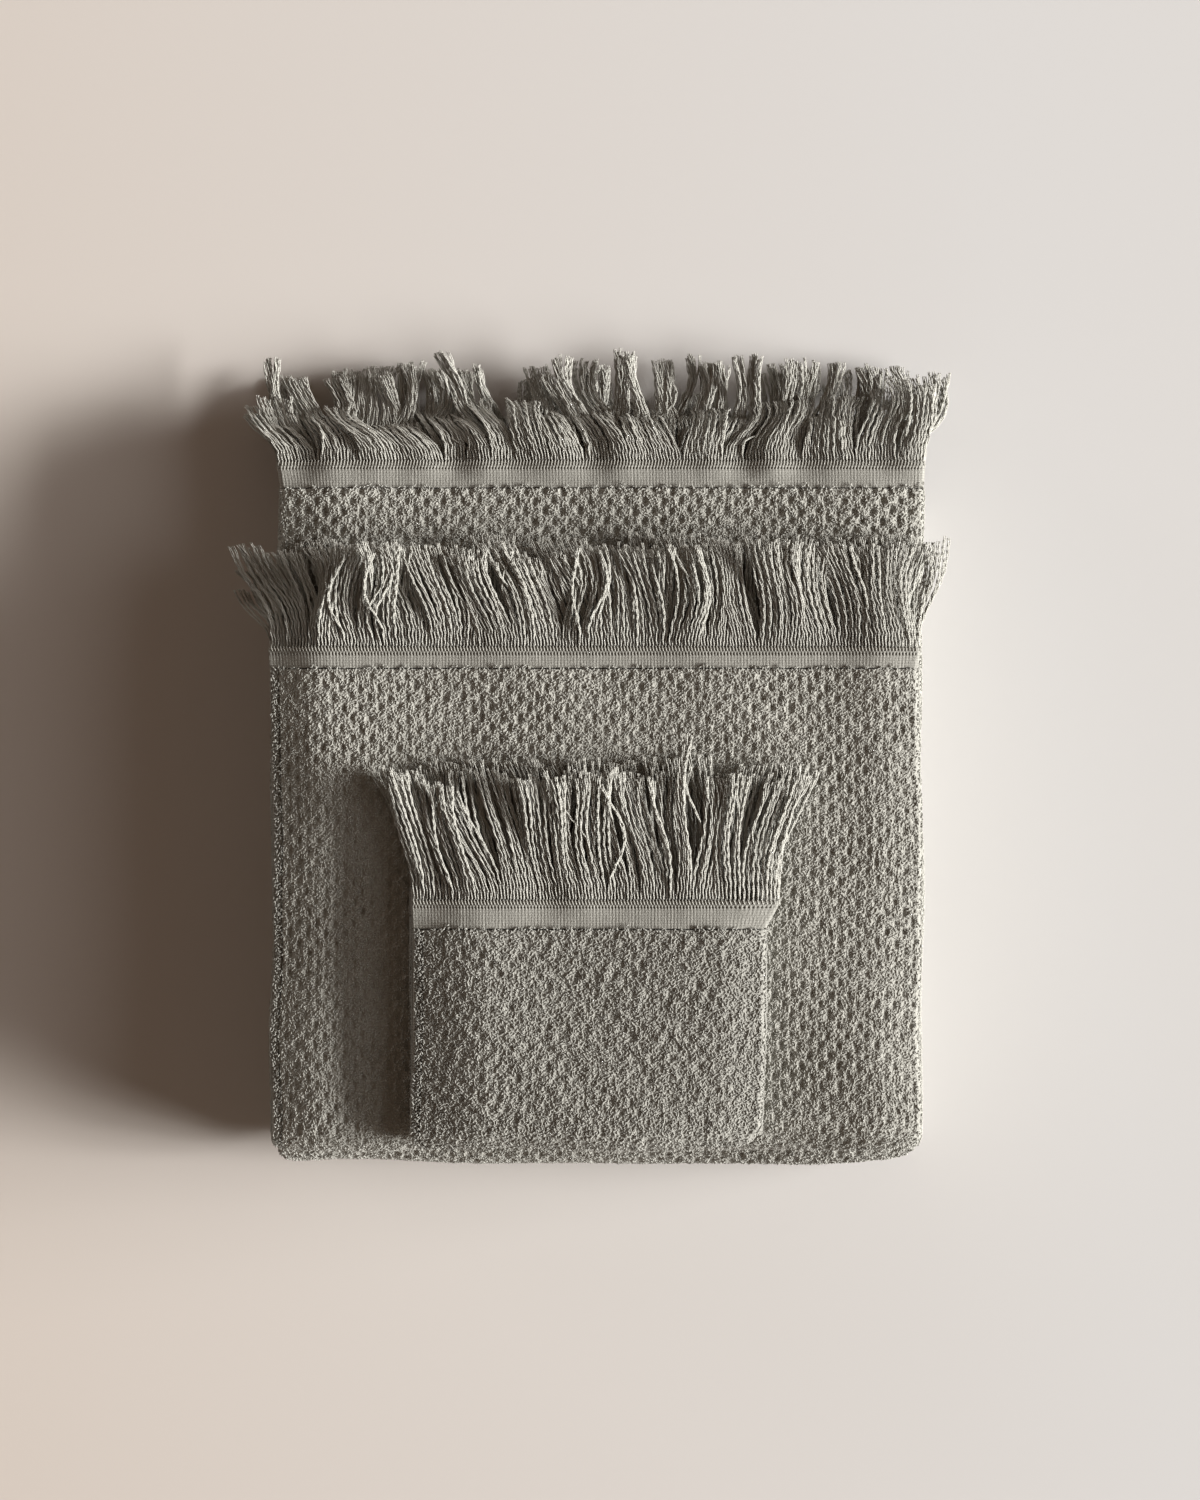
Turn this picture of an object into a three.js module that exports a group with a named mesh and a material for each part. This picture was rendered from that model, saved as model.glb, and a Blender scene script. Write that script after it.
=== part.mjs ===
// A stack of three folded terry towels: bath towel, hand towel and washcloth.
// Millimetres, +Z up, +Y towards the fringed ends. The origin is on the floor, at the middle of
// the stack. Each towel is one woven length with a looped terry field, a narrow woven selvedge
// down each side, and at each end a flat woven border, a hemstitch row and a knotless fringe.
// The towel is folded across its width first, then along its length, and every piece of it
// follows the same two folds.
import * as THREE from 'three';

// ---- cloth ----------------------------------------------------------------------------------
const SHEET_PITCH = 4;             // height that one layer of towel takes up in the stack
const GAP = 0.4;                   // clear space between neighbouring pieces and layers
const TERRY_THICKNESS = SHEET_PITCH - GAP;
const BORDER_THICKNESS = 2.4;
const HEMSTITCH_THICKNESS = 2;
const FRINGE_THICKNESS = 1.5;
const SELVEDGE_WIDTH = 3.5;
const HEMSTITCH_LENGTH = 0.9;

// ---- how finely the round folds are divided -------------------------------------------------
const SMALL_FOLD_STEPS = 4;
const LARGE_FOLD_STEPS = 6;
const NEST_STEPS = 8;
const DROOP_STEPS = 3;

// ---- the three towels -----------------------------------------------------------------------
// noseY: front of the rounded near fold. terryEndY: where the top layer's terry field ends.
// overhang: how far the under layer's end runs past the top one. flare: how much wider the
// fringe is at its tips than at its root. droop: the fringe's fall, in degrees.
const BATH_TOWEL = {
  name: 'bath_towel', sheetsAcross: 3, layersAlong: 4, width: 269, centreX: 0, baseZ: 0,
  noseY: -169, terryEndY: 112, overhang: 6, border: 9, fringe: 43, flare: 0.07,
  droop: 28, droopRadius: 60,
};
const HAND_TOWEL = {
  name: 'hand_towel', sheetsAcross: 2, layersAlong: 4, width: 264, centreX: -1.5, baseZ: 48,
  noseY: -160, terryEndY: 36.5, overhang: 4, border: 7, fringe: 44, flare: 0.07,
  droop: 18, droopRadius: 57,
};
const WASHCLOTH = {
  name: 'washcloth', sheetsAcross: 2, layersAlong: 2, width: 142, centreX: -5, baseZ: 80,
  noseY: -157, terryEndY: -68.5, overhang: 5, border: 10, fringe: 48, flare: 0.12,
  droop: 0, droopRadius: 60,
};

const TERRY_COLOUR = 0x86837b;
const WOVEN_COLOUR = 0x94928b;
const FRINGE_COLOUR = 0x8a877e;

const radians = THREE.MathUtils.degToRad;

// Points on a circle. Angles are measured from +first axis towards +second axis, in radians.
// facing is 1 where the cloth's outer side faces away from the centre, and -1 where it faces it.
function arcPoints(centreA, centreB, radius, from, to, steps, facing) {
  const points = [];
  for (let i = 0; i <= steps; i += 1) {
    const angle = from + ((to - from) * i) / steps;
    const a = Math.cos(angle);
    const b = Math.sin(angle);
    points.push({
      a: centreA + radius * a,
      b: centreB + radius * b,
      normalA: facing * a,
      normalB: facing * b,
    });
  }
  return points;
}

// Joins stretches of points into one line, gives each point its distance along it, and drops
// the doubled points where two stretches meet.
function joinStretches(...stretches) {
  const line = [];
  let distance = 0;
  for (const point of stretches.flat()) {
    const last = line.at(-1);
    const step = last ? Math.hypot(point.a - last.a, point.b - last.b) : 0;
    if (last && step < 1e-6) continue;
    distance += step;
    line.push({ ...point, along: distance });
  }
  return line;
}

// The part of a line between two distances, with its end points placed exactly.
function cutLine(line, from, to) {
  const pointAt = (distance) => {
    const next = Math.max(1, line.findIndex((point) => point.along >= distance - 1e-9));
    const before = line[next - 1];
    const after = line[next];
    const share = (distance - before.along) / (after.along - before.along);
    const mix = (key) => before[key] + (after[key] - before[key]) * share;
    const length = Math.hypot(mix('normalA'), mix('normalB'));
    return {
      a: mix('a'),
      b: mix('b'),
      normalA: mix('normalA') / length,
      normalB: mix('normalB') / length,
      along: distance,
    };
  };
  const inside = line.filter((point) => point.along > from + 0.05 && point.along < to - 0.05);
  return [pointAt(from), ...inside, pointAt(to)];
}

// The fold across the width, seen from the near end: a is sideways, b is the height inside the
// bundle of sheets. A bath towel is folded in thirds, with its sides turned in behind the
// middle third. The others are folded in half, with the fold on the right.
function widthFold(towel) {
  const half = towel.width / 2 - GAP / 2;
  const radius = SHEET_PITCH / 2;
  const bottom = radius;
  const free = { normalA: 0 };
  if (towel.sheetsAcross === 2) {
    const right = half - radius - TERRY_THICKNESS / 2;
    return joinStretches(
      [{ ...free, a: -half, b: bottom, normalB: -1 }],
      arcPoints(right, 2 * radius, radius, -Math.PI / 2, Math.PI / 2, SMALL_FOLD_STEPS, 1),
      [{ ...free, a: -half, b: 3 * radius, normalB: 1 }],
    );
  }
  const top = 5 * radius;
  const left = -(half - radius - TERRY_THICKNESS / 2);
  const right = half - 2 * radius - TERRY_THICKNESS / 2;
  return joinStretches(
    [{ ...free, a: right - 2, b: 3 * radius, normalB: -1 }],
    arcPoints(left, 4 * radius, radius, -Math.PI / 2, -1.5 * Math.PI, SMALL_FOLD_STEPS, 1),
    arcPoints(right, 3 * radius, 2 * radius, Math.PI / 2, -Math.PI / 2, LARGE_FOLD_STEPS, 1),
    [{ ...free, a: left + 2, b: top - 4 * radius, normalB: -1 }],
  );
}

// The fold along the length, seen from the right: a is along Y, b is up. It runs from the tip
// of the top layer's fringe to the tip of the under layer's fringe. Four layers lie as a towel
// halved twice: the outer pair and the inner pair are nested at the near end, and the two
// lowest layers are joined at the far end, under the fringes.
function lengthFold(towel) {
  const bundle = towel.sheetsAcross * SHEET_PITCH;
  const levelOf = (layer) => towel.baseZ - GAP / 2 + bundle * (layer + 0.5);
  const top = levelOf(towel.layersAlong - 1);
  const under = levelOf(towel.layersAlong - 2);
  const droop = radians(towel.droop);
  const drop = Math.PI / 2 - droop;
  const reach = towel.border + towel.fringe + towel.overhang + 10;
  const farCentre = top - towel.droopRadius;

  const fall = (level, facing) => {
    const radius = level - farCentre;
    const bend = droop > 0
      ? arcPoints(towel.terryEndY, farCentre, radius, Math.PI / 2, drop, DROOP_STEPS, facing)
      : [{ a: towel.terryEndY, b: level, normalA: 0, normalB: facing }];
    const last = bend.at(-1);
    return [...bend, { ...last, a: last.a + reach * Math.cos(droop), b: last.b - reach * Math.sin(droop) }];
  };
  const topFall = fall(top, 1).reverse();
  const underFall = fall(under, -1);

  if (towel.layersAlong === 2) {
    const nearCentre = towel.noseY + bundle;
    const near = arcPoints(
      nearCentre, (top + under) / 2, bundle / 2, Math.PI / 2, 1.5 * Math.PI, NEST_STEPS, 1,
    );
    return joinStretches(topFall, near, underFall);
  }
  const third = levelOf(1);
  const bottom = levelOf(0);
  const nearCentre = towel.noseY + 2 * bundle;
  const farFold = towel.terryEndY - bundle - 2;
  const middle = (top + bottom) / 2;
  return joinStretches(
    topFall,
    arcPoints(nearCentre, middle, 1.5 * bundle, Math.PI / 2, 1.5 * Math.PI, NEST_STEPS, 1),
    arcPoints(farFold, (third + bottom) / 2, bundle / 2, -Math.PI / 2, Math.PI / 2, LARGE_FOLD_STEPS, 1),
    arcPoints(nearCentre, middle, bundle / 2, -Math.PI / 2, -1.5 * Math.PI, LARGE_FOLD_STEPS, -1),
    underFall,
  );
}

// A closed ribbon of cloth: the width line carried along the length line, with a thickness.
// spread gives how much wider the width line is at a distance along the length.
function ribbon(towel, across, along, thickness, spread = () => 1) {
  const bundle = towel.sheetsAcross * SHEET_PITCH;
  const positions = [];
  const indices = [];
  const columns = across.length;
  const rows = along.length;
  for (const side of [1, -1]) {
    for (const row of along) {
      for (const column of across) {
        const height = column.b + (side * column.normalB * thickness) / 2 - bundle / 2;
        positions.push(
          towel.centreX + column.a * spread(row.along) + (side * column.normalA * thickness) / 2,
          row.a + row.normalA * height,
          row.b + row.normalB * height,
        );
      }
    }
  }
  const vertex = (side, row, column) => (side * rows + row) * columns + column;
  const quad = (p, q, r, s) => indices.push(p, q, r, p, r, s);
  for (let row = 0; row + 1 < rows; row += 1) {
    for (let column = 0; column + 1 < columns; column += 1) {
      quad(
        vertex(0, row, column), vertex(0, row + 1, column),
        vertex(0, row + 1, column + 1), vertex(0, row, column + 1),
      );
      quad(
        vertex(1, row, column), vertex(1, row, column + 1),
        vertex(1, row + 1, column + 1), vertex(1, row + 1, column),
      );
    }
  }
  const last = columns - 1;
  for (let row = 0; row + 1 < rows; row += 1) {
    quad(vertex(0, row, 0), vertex(1, row, 0), vertex(1, row + 1, 0), vertex(0, row + 1, 0));
    quad(vertex(0, row, last), vertex(0, row + 1, last), vertex(1, row + 1, last), vertex(1, row, last));
  }
  const end = rows - 1;
  for (let column = 0; column + 1 < columns; column += 1) {
    quad(vertex(0, 0, column), vertex(0, 0, column + 1), vertex(1, 0, column + 1), vertex(1, 0, column));
    quad(vertex(0, end, column), vertex(1, end, column), vertex(1, end, column + 1), vertex(0, end, column + 1));
  }
  const geometry = new THREE.BufferGeometry();
  geometry.setAttribute('position', new THREE.Float32BufferAttribute(positions, 3));
  geometry.setIndex(indices);
  return turnedOutwards(geometry);
}

// The same geometry with its faces pointing out: the volume that they enclose is positive.
function turnedOutwards(geometry) {
  const position = geometry.getAttribute('position');
  const index = geometry.getIndex();
  const corner = [new THREE.Vector3(), new THREE.Vector3(), new THREE.Vector3()];
  let volume = 0;
  for (let i = 0; i < index.count; i += 3) {
    corner.forEach((point, k) => point.fromBufferAttribute(position, index.getX(i + k)));
    volume += corner[0].dot(corner[1].clone().cross(corner[2])) / 6;
  }
  if (volume < 0) {
    const reversed = Array.from(index.array).reverse();
    geometry.setIndex(reversed);
  }
  geometry.computeVertexNormals();
  return geometry;
}

function addPiece(group, name, geometry, colour, roughness) {
  const material = new THREE.MeshStandardMaterial({ color: colour, roughness, metalness: 0 });
  const mesh = new THREE.Mesh(geometry, material);
  mesh.name = name;
  group.add(mesh);
}

// One towel: a terry field and two selvedges, and at each end a border, a hemstitch row and a
// fringe. "top" is the end on the top layer and "under" is the end on the layer below it.
function buildTowel(towel) {
  const group = new THREE.Group();
  const across = widthFold(towel);
  const along = lengthFold(towel);
  const width = across.at(-1).along;
  const topTerryEnd = along.findLastIndex(
    (point) => point.along < along.at(-1).along / 2 && point.a >= towel.terryEndY - 1e-6,
  );
  const terryStart = along[topTerryEnd].along;
  const underTerryEnd = along.findIndex(
    (point) => point.along > along.at(-1).along / 2 && point.a >= towel.terryEndY - 1e-6,
  );
  const terryEnd = along[underTerryEnd].along + towel.overhang;

  const terryAcross = cutLine(across, SELVEDGE_WIDTH + GAP, width - SELVEDGE_WIDTH - GAP);
  const terryAlong = cutLine(along, terryStart, terryEnd);
  addPiece(
    group, `${towel.name}_terry`,
    ribbon(towel, terryAcross, terryAlong, TERRY_THICKNESS), TERRY_COLOUR, 0.95,
  );
  addPiece(
    group, `${towel.name}_selvedge_inner`,
    ribbon(towel, cutLine(across, 0, SELVEDGE_WIDTH), terryAlong, BORDER_THICKNESS),
    WOVEN_COLOUR, 0.85,
  );
  addPiece(
    group, `${towel.name}_selvedge_outer`,
    ribbon(towel, cutLine(across, width - SELVEDGE_WIDTH, width), terryAlong, BORDER_THICKNESS),
    WOVEN_COLOUR, 0.85,
  );

  for (const [end, root, outward] of [['top', terryStart, -1], ['under', terryEnd, 1]]) {
    const span = (from, to) => {
      const ends = [root + outward * from, root + outward * to].sort((p, q) => p - q);
      return cutLine(along, ...ends);
    };
    const stitchAt = GAP + towel.border + GAP;
    const fringeAt = stitchAt + HEMSTITCH_LENGTH + GAP;
    const tipAt = fringeAt + towel.fringe;
    const spread = (distance) => {
      const share = (Math.abs(distance - root) - fringeAt) / towel.fringe;
      return 1 + towel.flare * Math.max(0, share);
    };
    addPiece(
      group, `${towel.name}_border_${end}`,
      ribbon(towel, across, span(GAP, GAP + towel.border), BORDER_THICKNESS), WOVEN_COLOUR, 0.85,
    );
    addPiece(
      group, `${towel.name}_hemstitch_${end}`,
      ribbon(towel, across, span(stitchAt, stitchAt + HEMSTITCH_LENGTH), HEMSTITCH_THICKNESS),
      WOVEN_COLOUR, 0.8,
    );
    addPiece(
      group, `${towel.name}_fringe_${end}`,
      ribbon(towel, across, span(fringeAt, tipAt), FRINGE_THICKNESS, spread), FRINGE_COLOUR, 0.9,
    );
  }
  return group;
}

const towelSet = new THREE.Group();
for (const towel of [BATH_TOWEL, HAND_TOWEL, WASHCLOTH]) {
  towelSet.add(buildTowel(towel));
}
const middle = new THREE.Box3().setFromObject(towelSet).getCenter(new THREE.Vector3());
towelSet.position.set(-middle.x, -middle.y, 0);

export default towelSet;
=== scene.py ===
"""Looks of a stack of three folded, fringed terry towels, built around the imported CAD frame.

Every towel is one length of cotton cloth, folded across its width and then along its length.
A point of the cloth is given by two distances in millimetres: across, from one selvedge to the
other, and along, from the tip of the top layer's fringe to the tip of the under layer's. Each
piece of a towel is made in those two distances and carried onto the same folds, so that the
pieces stay together.
Lengths in this script are millimetres. They become metres when a mesh is made.
"""
import math

import bpy
import numpy as np
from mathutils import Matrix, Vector
from mathutils.bvhtree import BVHTree


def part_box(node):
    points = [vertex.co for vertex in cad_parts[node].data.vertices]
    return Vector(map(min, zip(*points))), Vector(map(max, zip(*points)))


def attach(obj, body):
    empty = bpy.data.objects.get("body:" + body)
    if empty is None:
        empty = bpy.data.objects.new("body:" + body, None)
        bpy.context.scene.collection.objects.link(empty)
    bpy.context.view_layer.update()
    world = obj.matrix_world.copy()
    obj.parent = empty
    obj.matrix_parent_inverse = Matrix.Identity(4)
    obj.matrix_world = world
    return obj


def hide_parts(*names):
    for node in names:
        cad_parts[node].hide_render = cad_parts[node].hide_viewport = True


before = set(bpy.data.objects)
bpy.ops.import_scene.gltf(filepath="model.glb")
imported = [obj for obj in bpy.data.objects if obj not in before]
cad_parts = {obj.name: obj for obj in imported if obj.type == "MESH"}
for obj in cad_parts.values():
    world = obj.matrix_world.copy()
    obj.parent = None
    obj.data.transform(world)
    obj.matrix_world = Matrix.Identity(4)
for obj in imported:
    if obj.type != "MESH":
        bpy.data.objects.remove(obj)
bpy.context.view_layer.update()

MM = 0.001

# ---- camera, lights and floor. Angles are degrees
CAMERA_HEIGHT = 1500
CAMERA_AIM_Y = 3.5
LENS_MM = 84.2
SENSOR_MM = 36
LIGHT_COLOUR = (1.02, 1.0, 0.985)
WINDOW_SHARES = {-18: 0.14, -11: 0.22, -4: 0.30, 3: 0.22, 11: 0.12}  # azimuth: share of the power
WINDOW_ELEVATION = 17.5
WINDOW_POWER = 9.4
WINDOW_ANGLE = 12
HIGH_LIGHT = (0, 38, 0.55, 26)  # azimuth, elevation, power and how wide it is
BACK_LIGHT = (150, 5, 0.5, 20)
FILL_COLOUR = (0.146, 0.104, 0.077)
BACKDROP_COLOUR = (0.74, 0.72, 0.69)
FLOOR_SIZE = 12000
FLOOR_BELOW = 0.4
# The floor's colour is painted falloff of the window light: darker and warmer on the left, away from
# the window, and warmer for the shade there.
FLOOR_PAINTED_DIM_LEFT = (0.575, 0.525, 0.475)
FLOOR_PAINTED_LIT_RIGHT = (0.62, 0.62, 0.612)
FLOOR_FALLOFF_TURN = 9
FLOOR_FALLOFF_FROM = -300
FLOOR_FALLOFF_TO = 200

# ---- cloth
PITCH = 4.0  # from one sheet to the next
GAP = 0.4  # between two solids of the CAD frame
GROUND_HALF = 1.7  # half the thickness of the terry's ground cloth
WOVEN_HALF = 0.95  # half the thickness of a flat woven border
SELVEDGE_HALF = 0.85
SELVEDGE_WIDTH = 3.5
EDGE_SQUASH = 0.5  # how wide a fold at the side is, as a share of a round one
FOLD_DEPTH = 0.82  # how deep a fold at the near end is, as a share of a round one
CORNER_LEFT = 6.0  # radii of the near corners
CORNER_RIGHT = 13.0
HEMSTITCH_LENGTH = 0.9
STITCH_WIDTH = 0.9
STITCH_RADIUS = 0.23
THREAD_PITCH = 1.3  # from one warp thread to the next
WEFT_PITCH = 1.2
HOLE_ROW = 1.3  # from one row of holes in a border to the next
HOLE_DEPTH = 0.75

# ---- steps of the cloth's grids
GROUND_STEPS = (0.9, 1.1)
BORDER_STEPS = {"top": (0.27, 0.36), "under": (0.34, 1.0)}
INNER_STEPS = (7, 12)  # on the layers inside the folds
FINE_PAST_EDGE = 6  # how far the fine steps go past the outermost sheet

# ---- terry pile, with its loops and pits
LOOP_ROOT = 1.15  # height of a loop's root over the middle of the cloth
LOOP_HEIGHT = 0.74
BARE_EDGE = 0.3  # the width of cloth without loops at each selvedge
COVERED_SHARE = 0.4  # the share of loops made under the towel above
COVER_INSET = 8  # where the cover starts, inside the towel above
AIR_FROM = 2.6  # the search for open air over a loop: where it starts
AIR_TO = 9  # how far it goes
PIT_PITCH = 7.56  # from one pit to the next in a row
PIT_ROW = 4.15  # from one row of pits to the next

# ---- colours of the cotton
LOOP_DARK = (0.33, 0.327, 0.297)
LOOP_LIGHT = (0.45, 0.446, 0.405)
# The feet are the loops' cotton painted darker: painted shade in the gaps between the loops.
FEET_PAINTED_SHADE_DARK = (0.29, 0.287, 0.257)
FEET_PAINTED_SHADE_LIGHT = (0.38, 0.377, 0.34)
WOVEN_DARK = (0.30, 0.296, 0.267)
WOVEN_LIGHT = (0.385, 0.38, 0.345)
YARN_DARK = (0.39, 0.386, 0.347)
YARN_LIGHT = (0.46, 0.455, 0.412)
SHEEN_COLOUR = (0.95, 0.94, 0.9)
WHITE = (1.0, 1.0, 1.0)

# One loop: how far ahead of its middle, how high and how far to the side each point is, as shares.
LOOP_SHAPE = [(-1.0, -0.2, 0.1), (-0.5, 0.9, 0.4), (0.5, 1.0, -0.4), (1.0, -0.2, 0.1)]

# One stitch: its share of the way across, its height and its place along the threads.
STITCH_SHAPE = [
    (0.0, 0.3, -1.3), (0.3, 1.0, -0.8), (0.55, 1.2, 0.0), (0.8, 1.05, 0.8), (1.0, 0.3, 1.4),
]

# ---- fringe
PLIES = 3
PLY_RADIUS = 0.255
PLY_OFFSET = 0.29  # from a thread's middle to each ply's
PLY_PITCH = 1.6  # the length of one twist in a thread's colour
PLY_TURN = 0.35  # how far the plies turn round each other in 1 mm, in radians
FRINGE_TUCK = 1.5  # how far the threads reach in under the hemstitch
STRAND_THREADS = 3.6
FLOOR_REST = 0.6  # how high a thread that falls stays over the floor
PILE_REST = 2.0  # how high it stays over the towel below
SHEET_REST = 2.2  # what each sheet of its own lower fringe adds
BED_SOFTNESS = 1.2
THREAD_POINTS = 21
CRIMP = 0.3  # the small wave that the weaving left in a thread
CRIMP_LENGTH = 6.5
HIGHEST_OVER_ROOT = 7
LONG_LOCK = {"threads": 5, "length": 1.26, "gather": 0.45, "lift": 1.6, "lean": 0.14, "curve": 0.25}


class Towel:
    """One towel: its place, read from the frame, how it is folded and how its cloth looks.

    sheets is how many times the cloth lies on itself across the width, and layers how often that
    bundle lies on itself along the length. droop is how steeply the fringed ends hang, in degrees.
    crown is how far the top falls off: left, right and near. roll is over what width: left, right.
    """

    def __init__(self, name, sheets, layers, droop, seed, **style):
        self.name = name
        self.sheets = sheets
        self.layers = layers
        self.droop = math.radians(droop)
        self.seed = seed
        # The towel's darkening share is painted shade: it darkens its loops and their feet for the
        # shade inside its pile.
        self.painted_shade = style["painted_shade"]
        self.crown = style["crown"]
        self.roll_left, self.roll_right = style["roll"]
        self.lumps = style["lumps"]
        self.pit_depth, self.pit_half_width, self.pit_half_length = style["pit"]
        self.loop_spacing = style["loop_spacing"]
        self.loop_reach = style["loop_reach"]
        self.yarn_radius = style["yarn_radius"]
        self.loop_heading = math.radians(style["loop_heading"])
        self.loop_disorder = style["loop_disorder"]
        self.flare_left, self.flare_right = style["flare"]
        self.fringes = {"top": style["top"], "under": style["under"]}
        terry = np.array(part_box(f"{name}_terry")) / MM
        border = np.array(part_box(f"{name}_border_top")) / MM
        self.bundle = sheets * PITCH
        self.base = terry[0][2]
        self.height = layers * self.bundle
        self.nose = terry[0][1]
        self.centre = (border[0][0] + border[1][0]) / 2
        self.half_width = (border[1][0] - border[0][0]) / 2 + GAP
        self.terry_end = border[0][1] - GAP
        self.border = border[1][1] - border[0][1] - math.sin(self.droop) * 2
        self.below = None
        self.above = None


def arc(centre_a, centre_b, radius, start, stop, facing, squash=1.0):
    """A round stretch of a fold line: rows of a, b, normal a, normal b. squash shortens it in a."""
    count = max(6, int(abs(stop - start) * radius / 0.8))
    angle = np.linspace(start, stop, count)
    normal = np.stack([np.cos(angle) / squash, np.sin(angle)], 1)
    normal *= facing / np.linalg.norm(normal, axis=1, keepdims=True)
    a = centre_a + radius * squash * np.cos(angle)
    b = centre_b + radius * np.sin(angle)
    return np.column_stack([a, b, normal])


def fold_line(*stretches):
    """Joins stretches into one line of rows: distance along it, a, b, normal a, normal b."""
    rows = np.vstack(stretches)
    step = np.hypot(*np.diff(rows[:, :2], axis=0).T)
    keep = np.concatenate([[True], step > 1e-6])
    rows = rows[keep]
    step = np.hypot(*np.diff(rows[:, :2], axis=0).T)
    return np.column_stack([np.concatenate([[0], np.cumsum(step)]), rows])


def width_fold(towel):
    """The fold across the width: a is sideways, b is the height inside the bundle of sheets.
    Three sheets are a towel with both sides turned in; two are a towel folded on the right."""
    radius = PITCH / 2
    half = towel.half_width
    if towel.sheets == 2:
        right = half - (radius + GROUND_HALF) * EDGE_SQUASH
        return fold_line(
            [[-half, radius, 0, -1]],
            arc(right, 2 * radius, radius, -math.pi / 2, math.pi / 2, 1, EDGE_SQUASH),
            [[-half, 3 * radius, 0, 1]],
        )
    left = -(half - (radius + GROUND_HALF) * EDGE_SQUASH)
    right = half - (2 * radius + GROUND_HALF) * EDGE_SQUASH
    return fold_line(
        [[right - 2, 3 * radius, 0, -1]],
        arc(left, 4 * radius, radius, -math.pi / 2, -1.5 * math.pi, 1, EDGE_SQUASH),
        arc(right, 3 * radius, 2 * radius, math.pi / 2, -math.pi / 2, 1, EDGE_SQUASH),
        [[left + 2, radius, 0, -1]],
    )


def length_fold(towel):
    """The fold along the length: a is along Y, b is up. Four layers are a towel halved twice,
    with two pairs nested at the near end and the lowest two joined under the fringes."""
    bundle = towel.bundle
    level = [towel.base - GAP / 2 + bundle * (layer + 0.5) for layer in range(towel.layers)]
    under, top = level[-2:]
    bend_radius = 60
    reach = 90
    far_centre = top - bend_radius

    def fall(height, facing):
        if towel.droop == 0:
            bend = np.array([[towel.terry_end, height, 0, facing]])
        else:
            stop = math.pi / 2 - towel.droop
            bend = arc(towel.terry_end, far_centre, height - far_centre, math.pi / 2, stop, facing)
        tip = bend[-1].copy()
        tip[0] += reach * math.cos(towel.droop)
        tip[1] -= reach * math.sin(towel.droop)
        return np.vstack([bend, tip])

    half_turn = (math.pi / 2, 1.5 * math.pi)
    top_fall = fall(top, 1)[::-1]
    under_fall = fall(under, -1)
    if towel.layers == 2:
        near = towel.nose + bundle * FOLD_DEPTH
        turn = arc(near, (top + under) / 2, bundle / 2, *half_turn, 1, FOLD_DEPTH)
        return fold_line(top_fall, turn, under_fall)
    near = towel.nose + 2 * bundle * FOLD_DEPTH
    middle = (top + level[0]) / 2
    far = towel.terry_end - bundle - 2
    return fold_line(
        top_fall,
        arc(near, middle, 1.5 * bundle, *half_turn, 1, FOLD_DEPTH),
        arc(far, (level[0] + level[1]) / 2, bundle / 2, -math.pi / 2, math.pi / 2, 1),
        arc(near, middle, bundle / 2, -math.pi / 2, -1.5 * math.pi, -1, FOLD_DEPTH),
        under_fall,
    )


def smooth(x):
    """0 below 0, 1 above 1, and a smooth rise between."""
    x = np.clip(x, 0, 1)
    return x * x * (3 - 2 * x)


def waves(x, y, seed, length, count=7):
    """A gentle random surface from -1 to 1, whose bumps are about length across."""
    rng = np.random.default_rng(seed)
    total = np.zeros_like(x, dtype=float)
    for _ in range(count):
        heading = rng.uniform(0, 2 * math.pi)
        size = 2 * math.pi / (length * rng.uniform(0.7, 1.5))
        total += np.sin(size * (x * math.cos(heading) + y * math.sin(heading)) + rng.uniform(0, 6.28))
    return total / math.sqrt(count)


def top_drop(towel, x, y):
    """How far the top of a towel sits below its flat height: less at its middle than at its
    edges, with gentle waves, and with the drop of the towels below it."""
    if towel is None:
        return np.zeros_like(x)
    from_left = towel.half_width + (x - towel.centre)
    from_right = towel.half_width - (x - towel.centre)
    from_nose = y - towel.nose
    left = (1 - smooth(from_left / towel.roll_left + 0.12)) * towel.crown[0]
    right = (1 - smooth(from_right / towel.roll_right + 0.12)) * towel.crown[1]
    near = (1 - smooth(from_nose / 20)) * towel.crown[2]
    gentle = 0.016 * towel.height * waves(x, y, towel.seed, 90)
    return left + right + near + gentle + top_drop(towel.below, x, y)


def settle(towel, points):
    """Moves points from the flat, square folds to how a soft towel lies: layers shifted a
    little sideways, near corners rounded, edges lower than the middle."""
    x, y, z = np.array(points, dtype=float).T
    height = np.clip((z - towel.base) / towel.height, 0, 1.0)
    below = top_drop(towel.below, x, y)
    own = top_drop(towel, x, y) - below
    z = z - own * height - below

    # Round the near corners.
    side = (x - towel.centre) / towel.half_width
    corner = np.where(side > 0, CORNER_RIGHT, CORNER_LEFT)
    depth = np.clip(corner - (y - towel.nose), 0, corner)
    inset = corner - np.sqrt(corner * corner - depth * depth)
    x = x - np.sign(side) * inset * smooth((np.abs(side) - 0.6) / 0.35)

    # Shift the layers and let the folds wander.
    x = x + 0.5 * np.sin(z * 0.31 + y * 0.013 + towel.seed) + 0.6 * waves(y, z * 2, towel.seed + 5, 70)
    y = y + 1.0 * waves(x, z * 2, towel.seed + 9, 80) * (1 - smooth((y - towel.nose) / 60))

    # Beyond the terry the cloth is thinner, so it spreads and ripples.
    past_terry = smooth((y - towel.terry_end + 2) / 14)
    flare = np.where(side > 0, towel.flare_right, towel.flare_left)
    x = x + np.sign(side) * flare * past_terry * smooth((np.abs(side) - 0.72) / 0.28)
    z = z + 0.7 * height * past_terry * waves(x, 0 * x, towel.seed + 13, 26)
    return np.column_stack([x, y, z])


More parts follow.
